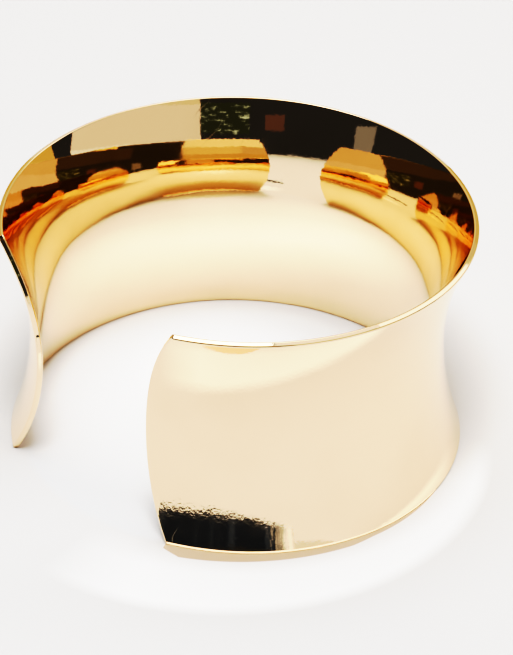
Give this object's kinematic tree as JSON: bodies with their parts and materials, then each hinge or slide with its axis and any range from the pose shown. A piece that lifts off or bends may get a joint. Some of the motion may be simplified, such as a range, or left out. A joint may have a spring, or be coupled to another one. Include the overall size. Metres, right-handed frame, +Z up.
{
  "type": "cuff bracelet",
  "caption": "Wide open cuff bracelet bent from one polished metal sheet, with a narrow waist, flared rims and rounded-out ends.",
  "frame": {"origin": "under the middle of the cuff's bounding box, on the surface that its lower rim stands on", "axes": "+Z up along the wrist's axis, +X across the opening towards the right-hand end, -Y out through the opening"},
  "size_m": [0.0694, 0.0638, 0.0361],
  "materials": {
    "gold_plate": "mirror-polished pale gold plate"
  },
  "bodies": {
    "root": {"cuff": "gold_plate"}
  },
  "joints": []
}
